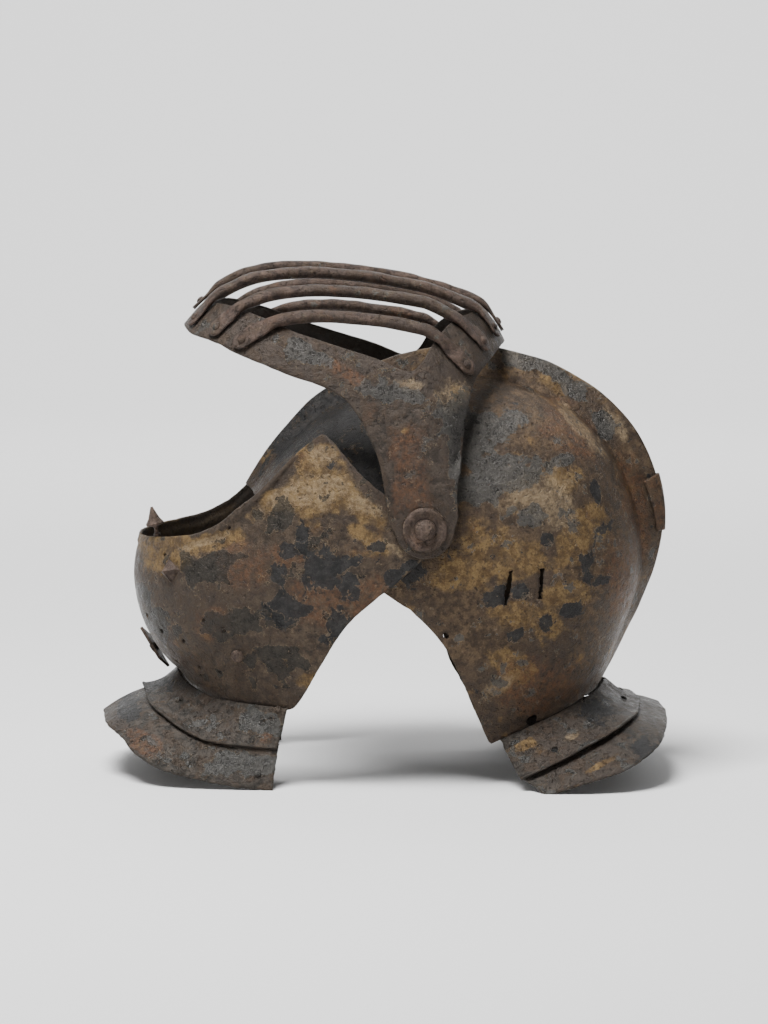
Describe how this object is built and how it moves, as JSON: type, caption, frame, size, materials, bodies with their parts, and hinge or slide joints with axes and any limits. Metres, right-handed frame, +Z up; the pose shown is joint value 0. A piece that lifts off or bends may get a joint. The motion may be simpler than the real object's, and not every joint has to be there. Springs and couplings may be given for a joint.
{
  "type": "tournament helmet",
  "caption": "Barred tourney close helmet of old iron, its visor raised and its bevor swung open, standing on its front and rear gorget lames.",
  "frame": {"origin": "centre of the bounding box at its base, on the surface the helmet stands on", "axes": "+Z up, -X towards the face, -Y towards the wearer's left; the side pivots lie on one line along Y"},
  "size_m": [0.3965, 0.2384, 0.3545],
  "materials": {
    "skull_iron": "old forged iron, brown and ochre patina with dark remains of blackening",
    "bevor_iron": "old forged iron, brown patina, tan where scoured",
    "visor_iron": "old forged iron, grey brown patina",
    "lame_iron": "old forged iron, dark grey brown patina",
    "fittings": "old forged iron, dark"
  },
  "bodies": {
    "skull_body": {"skull": "skull_iron", "comb_clip": "fittings", "rear_lame_upper": "lame_iron", "rear_lame_lower": "lame_iron", "pivot_rosette_left": "fittings", "pivot_rosette_right": "fittings", "pivot_bolt_left": "fittings", "pivot_bolt_right": "fittings"},
    "bevor_body": {"bevor": "bevor_iron", "front_lame_upper": "lame_iron", "front_lame_lower": "lame_iron", "bevor_stud": "fittings", "bevor_rivet": "fittings", "bevor_peg": "fittings", "bevor_plate": "fittings"},
    "visor_body": {"visor_frame": "visor_iron", "bar_centre": "visor_iron", "bar_left_1": "visor_iron", "bar_right_1": "visor_iron", "bar_left_2": "visor_iron", "bar_right_2": "visor_iron", "bar_left_3": "visor_iron", "bar_right_3": "visor_iron"}
  },
  "joints": [
    {"name": "bevor_hinge", "type": "hinge", "parent": "skull_body", "child": "bevor_body", "pos_m": [0.027, 0, 0.1782], "axis": [0, -1, 0], "range_deg": [0, 53]},
    {"name": "visor_hinge", "type": "hinge", "parent": "bevor_body", "child": "visor_body", "pos_m": [0.027, 0, 0.1782], "axis": [0, -1, 0], "range_deg": [0, 45]}
  ]
}
